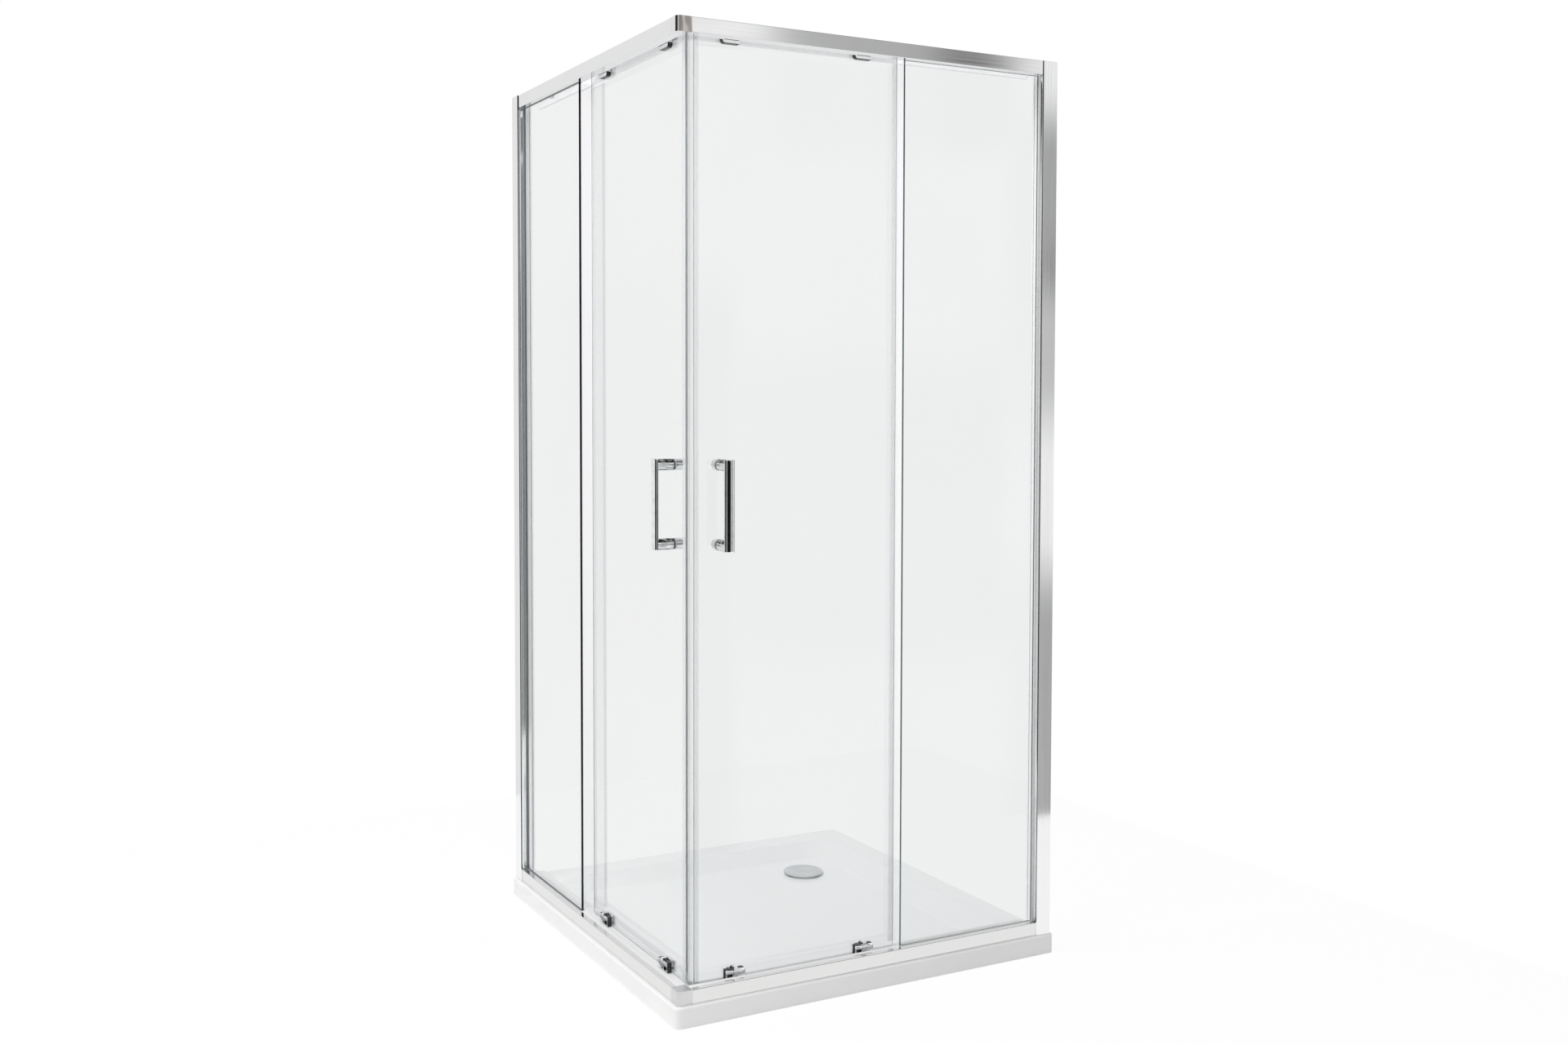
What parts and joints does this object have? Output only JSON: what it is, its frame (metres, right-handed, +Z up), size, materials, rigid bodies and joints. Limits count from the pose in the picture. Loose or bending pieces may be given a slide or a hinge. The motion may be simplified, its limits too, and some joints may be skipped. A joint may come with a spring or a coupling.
{
  "type": "shower enclosure",
  "caption": "Square corner-entry shower enclosure: clear sliding doors meet at the front corner, with fixed panels, polished rails, wall profiles and a low white tray.",
  "frame": {"origin": "on the floor, under the middle of the tray", "axes": "+Z up; the right-hand glass side faces -Y and the left-hand one faces -X, so the entry corner is at -X -Y and the room's walls are at +X and +Y"},
  "size_m": [0.9, 0.9, 1.89],
  "materials": {
    "white_acrylic": "smooth gloss",
    "polished_aluminium": "polished",
    "satin_aluminium": "satin",
    "chrome": "mirror",
    "clear_glass": "clear toughened, green at the edge",
    "clear_seal": "translucent",
    "magnet": "matt, magnet-filled",
    "dark_rubber": "matt",
    "white_nylon": "satin",
    "grey_plastic": "satin",
    "steel": "bright"
  },
  "bodies": {
    "frame": {"shower_tray": "white_acrylic", "waste_flange": "chrome", "waste_gasket": "dark_rubber", "top_corner_joint": "chrome", "bottom_corner_joint": "satin_aluminium", "rail_stops": "grey_plastic", "frame_screws": "steel", "screw_caps": "grey_plastic", "top_rail_right": "polished_aluminium", "bottom_rail_right": "polished_aluminium", "channel_covers_right": "polished_aluminium", "wall_profile_right": "polished_aluminium", "glass_holder_right": "polished_aluminium", "fixed_glass_right": "clear_glass", "fixed_gasket_right": "dark_rubber", "top_rail_left": "polished_aluminium", "bottom_rail_left": "polished_aluminium", "channel_covers_left": "polished_aluminium", "wall_profile_left": "polished_aluminium", "glass_holder_left": "polished_aluminium", "fixed_glass_left": "clear_glass", "fixed_gasket_left": "dark_rubber"},
    "drain_cover": {"drain_cover": "chrome"},
    "door_right": {"door_glass_right": "clear_glass", "magnet_seal_right": "clear_seal", "magnet_strip_right": "magnet", "rear_seal_right": "clear_seal", "handle_right": "chrome", "handle_knobs_right": "chrome", "handle_washers_right": "dark_rubber", "roller_caps_right": "chrome", "roller_axles_right": "steel", "guide_housings_right": "chrome", "guide_plates_right": "chrome", "guide_springs_right": "steel"},
    "top_wheel_right_near": {"top_wheel_right_near": "white_nylon"},
    "guide_slide_right_near": {"guide_slide_right_near": "chrome"},
    "guide_wheel_right_near": {"guide_wheel_right_near": "white_nylon"},
    "top_wheel_right_far": {"top_wheel_right_far": "white_nylon"},
    "guide_slide_right_far": {"guide_slide_right_far": "chrome"},
    "guide_wheel_right_far": {"guide_wheel_right_far": "white_nylon"},
    "door_left": {"door_glass_left": "clear_glass", "magnet_seal_left": "clear_seal", "magnet_strip_left": "magnet", "rear_seal_left": "clear_seal", "handle_left": "chrome", "handle_knobs_left": "chrome", "handle_washers_left": "dark_rubber", "roller_caps_left": "chrome", "roller_axles_left": "steel", "guide_housings_left": "chrome", "guide_plates_left": "chrome", "guide_springs_left": "steel"},
    "top_wheel_left_near": {"top_wheel_left_near": "white_nylon"},
    "guide_slide_left_near": {"guide_slide_left_near": "chrome"},
    "guide_wheel_left_near": {"guide_wheel_left_near": "white_nylon"},
    "top_wheel_left_far": {"top_wheel_left_far": "white_nylon"},
    "guide_slide_left_far": {"guide_slide_left_far": "chrome"},
    "guide_wheel_left_far": {"guide_wheel_left_far": "white_nylon"}
  },
  "joints": [
    {"name": "door_right_slide", "type": "slide", "parent": "frame", "child": "door_right", "axis": [1, 0, 0], "range_m": [0, 0.32]},
    {"name": "top_wheel_right_near_spin", "type": "hinge", "parent": "door_right", "child": "top_wheel_right_near", "pos_m": [-0.31, -0.3886, 1.8773], "axis": [0, 1, 0], "continuous": true},
    {"name": "guide_slide_right_near_press", "type": "slide", "parent": "door_right", "child": "guide_slide_right_near", "axis": [0, 0, -1], "range_m": [0, 0.003], "stiffness_N_per_m": 500, "springref_m": -0.003, "deforming": ["guide_springs_right"]},
    {"name": "guide_wheel_right_near_spin", "type": "hinge", "parent": "guide_slide_right_near", "child": "guide_wheel_right_near", "pos_m": [-0.301, -0.387, 0.05], "axis": [0, 1, 0], "continuous": true},
    {"name": "top_wheel_right_far_spin", "type": "hinge", "parent": "door_right", "child": "top_wheel_right_far", "pos_m": [-0.014, -0.3886, 1.8773], "axis": [0, 1, 0], "continuous": true},
    {"name": "guide_slide_right_far_press", "type": "slide", "parent": "door_right", "child": "guide_slide_right_far", "axis": [0, 0, -1], "range_m": [0, 0.003], "stiffness_N_per_m": 500, "springref_m": -0.003},
    {"name": "guide_wheel_right_far_spin", "type": "hinge", "parent": "guide_slide_right_far", "child": "guide_wheel_right_far", "pos_m": [-0.005, -0.387, 0.05], "axis": [0, 1, 0], "continuous": true},
    {"name": "door_left_slide", "type": "slide", "parent": "frame", "child": "door_left", "axis": [0, 1, 0], "range_m": [0, 0.32]},
    {"name": "top_wheel_left_near_spin", "type": "hinge", "parent": "door_left", "child": "top_wheel_left_near", "pos_m": [-0.3886, -0.31, 1.8773], "axis": [1, 0, 0], "continuous": true},
    {"name": "guide_slide_left_near_press", "type": "slide", "parent": "door_left", "child": "guide_slide_left_near", "axis": [0, 0, -1], "range_m": [0, 0.003], "stiffness_N_per_m": 500, "springref_m": -0.003, "deforming": ["guide_springs_left"]},
    {"name": "guide_wheel_left_near_spin", "type": "hinge", "parent": "guide_slide_left_near", "child": "guide_wheel_left_near", "pos_m": [-0.387, -0.301, 0.05], "axis": [1, 0, 0], "continuous": true},
    {"name": "top_wheel_left_far_spin", "type": "hinge", "parent": "door_left", "child": "top_wheel_left_far", "pos_m": [-0.3886, -0.014, 1.8773], "axis": [1, 0, 0], "continuous": true},
    {"name": "guide_slide_left_far_press", "type": "slide", "parent": "door_left", "child": "guide_slide_left_far", "axis": [0, 0, -1], "range_m": [0, 0.003], "stiffness_N_per_m": 500, "springref_m": -0.003},
    {"name": "guide_wheel_left_far_spin", "type": "hinge", "parent": "guide_slide_left_far", "child": "guide_wheel_left_far", "pos_m": [-0.387, -0.005, 0.05], "axis": [1, 0, 0], "continuous": true},
    {"name": "drain_cover_lift", "type": "slide", "parent": "frame", "child": "drain_cover", "axis": [0, 0, 1], "range_m": [0, 0.03]}
  ],
  "couplings": [
    {"joint": "top_wheel_right_near_spin", "follows": "door_right_slide", "rad_per_m": 111.11},
    {"joint": "guide_wheel_right_near_spin", "follows": "door_right_slide", "rad_per_m": -181.82},
    {"joint": "top_wheel_right_far_spin", "follows": "door_right_slide", "rad_per_m": 111.11},
    {"joint": "guide_wheel_right_far_spin", "follows": "door_right_slide", "rad_per_m": -181.82},
    {"joint": "top_wheel_left_near_spin", "follows": "door_left_slide", "rad_per_m": -111.11},
    {"joint": "guide_wheel_left_near_spin", "follows": "door_left_slide", "rad_per_m": 181.82},
    {"joint": "top_wheel_left_far_spin", "follows": "door_left_slide", "rad_per_m": -111.11},
    {"joint": "guide_wheel_left_far_spin", "follows": "door_left_slide", "rad_per_m": 181.82}
  ]
}
